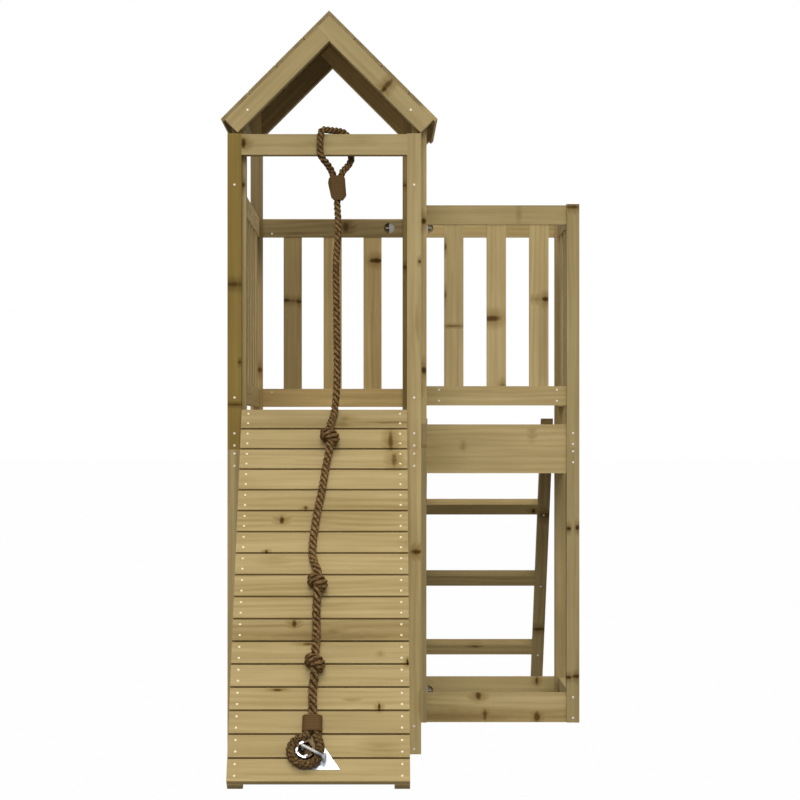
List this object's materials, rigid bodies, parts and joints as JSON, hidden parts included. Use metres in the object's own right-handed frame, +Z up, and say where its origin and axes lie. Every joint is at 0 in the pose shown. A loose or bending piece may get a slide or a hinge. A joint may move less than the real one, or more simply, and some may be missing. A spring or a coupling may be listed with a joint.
{
  "type": "climbing frame",
  "caption": "Wooden climbing frame with a gabled roof, an L-shaped railed deck, a planked ramp, a knotted climbing rope and a leaning ladder",
  "frame": {"origin": "On the ground, under the middle of the outline without the free rope", "axes": "+Z up, the ramp and the rope face -Y, +X to the right seen from the ramp"},
  "size_m": [1.0315, 2.2202, 2.0161],
  "materials": {
    "timber": "dry sawn softwood",
    "pale_timber": "dry planed softwood",
    "brown_timber": "dry sawn softwood, browner heartwood",
    "aged_timber": "dry sawn softwood, darker",
    "rope": "laid brown fibre",
    "sleeve": "ribbed, matte",
    "steel": "zinc plated",
    "screw_steel": "zinc plated"
  },
  "bodies": {
    "frame": {"left_upright_lower": "brown_timber", "left_upright_upper": "brown_timber", "right_upright_lower": "timber", "right_upright_upper": "timber", "top_beam": "timber", "roof_post_front_left": "timber", "roof_post_front_right": "timber", "roof_plates": "aged_timber", "roof_strut_left": "aged_timber", "roof_strut_right": "aged_timber", "rafter_front_left": "timber", "rafter_front_right": "timber", "rafter_rear_left": "aged_timber", "rafter_rear_right": "aged_timber", "roof_boards_left": "aged_timber", "roof_boards_right": "aged_timber", "rear_post_left": "aged_timber", "rear_post_middle": "aged_timber", "rear_post_right": "aged_timber", "extension_post_left_lower": "timber", "extension_post_left_upper": "timber", "extension_post_right_lower": "timber", "extension_post_right_upper": "timber", "front_rim": "timber", "left_rim": "timber", "middle_rim": "timber", "right_rim": "timber", "extension_rim": "timber", "rear_rims": "aged_timber", "deck_bearers": "aged_timber", "tower_deck_boards": "pale_timber", "extension_deck_boards": "pale_timber", "rear_rails": "aged_timber", "rear_pickets": "aged_timber", "ladder_bar": "aged_timber", "left_rails": "timber", "left_pickets": "timber", "middle_rails": "timber", "middle_pickets": "timber", "extension_rails": "timber", "extension_pickets": "timber", "right_rails": "timber", "right_pickets": "timber", "base_boards": "timber", "ladder_stiles": "aged_timber", "ladder_rungs": "aged_timber", "ramp_stiles": "timber", "ramp_planks": "pale_timber", "frame_screws": "screw_steel", "ramp_screws": "screw_steel", "rear_bolts": "steel", "rope_loop": "rope", "upper_sleeve": "sleeve"},
    "rope": {"rope_run": "rope", "rope_knots": "rope", "lower_sleeve": "sleeve", "rope_eye": "rope", "thimble": "steel", "hanger_hook": "steel"}
  },
  "joints": [
    {"name": "rope_swing", "type": "hinge", "parent": "frame", "child": "rope", "pos_m": [-0.20025, -0.48523, 1.4915], "axis": [-1, 0, 0], "range_deg": [0, 30]}
  ]
}
